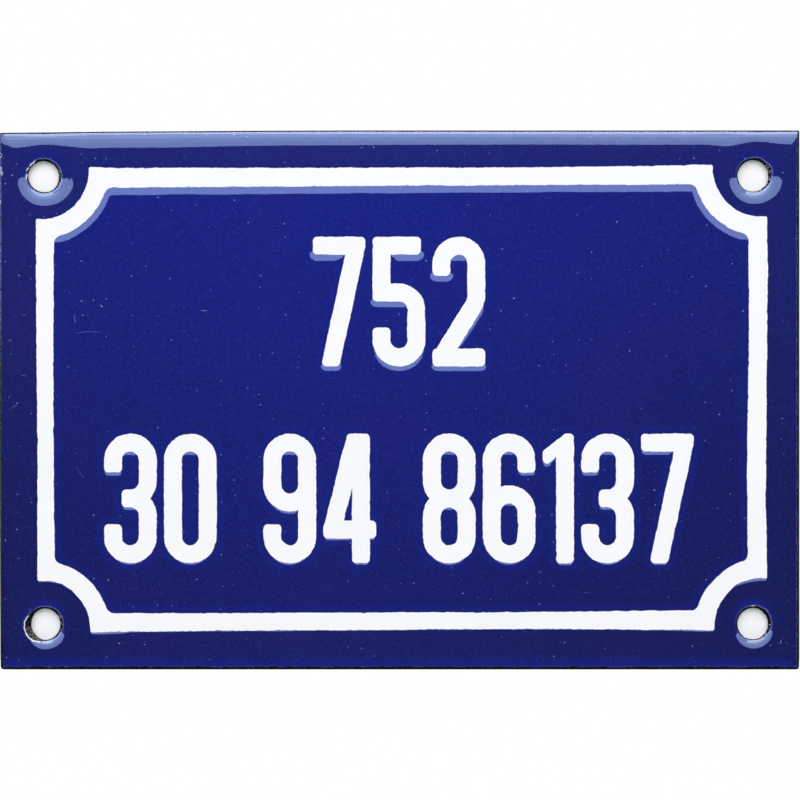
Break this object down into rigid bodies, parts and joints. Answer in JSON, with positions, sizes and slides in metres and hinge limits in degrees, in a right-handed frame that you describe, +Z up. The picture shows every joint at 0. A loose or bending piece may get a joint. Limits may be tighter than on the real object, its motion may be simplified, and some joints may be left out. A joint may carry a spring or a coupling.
{
  "type": "enamel wall sign",
  "caption": "Small rectangular blue enamel wall sign with a rolled edge, dished screw holes, a white border line with notched corners and two rows of white figures.",
  "frame": {"origin": "middle of the four screw holes, on the wall that the sign is fixed to", "axes": "+X to the right across the width, +Z up, the face looks along -Y and the wall is the plane y = 0"},
  "size_m": [0.15, 0.0021, 0.101],
  "materials": {
    "blue_enamel": "glossy vitreous enamel on pressed steel",
    "white_enamel": "glossy vitreous enamel"
  },
  "bodies": {
    "root": {"blue_plate": "blue_enamel", "white_border": "white_enamel", "white_numerals": "white_enamel"}
  },
  "joints": []
}
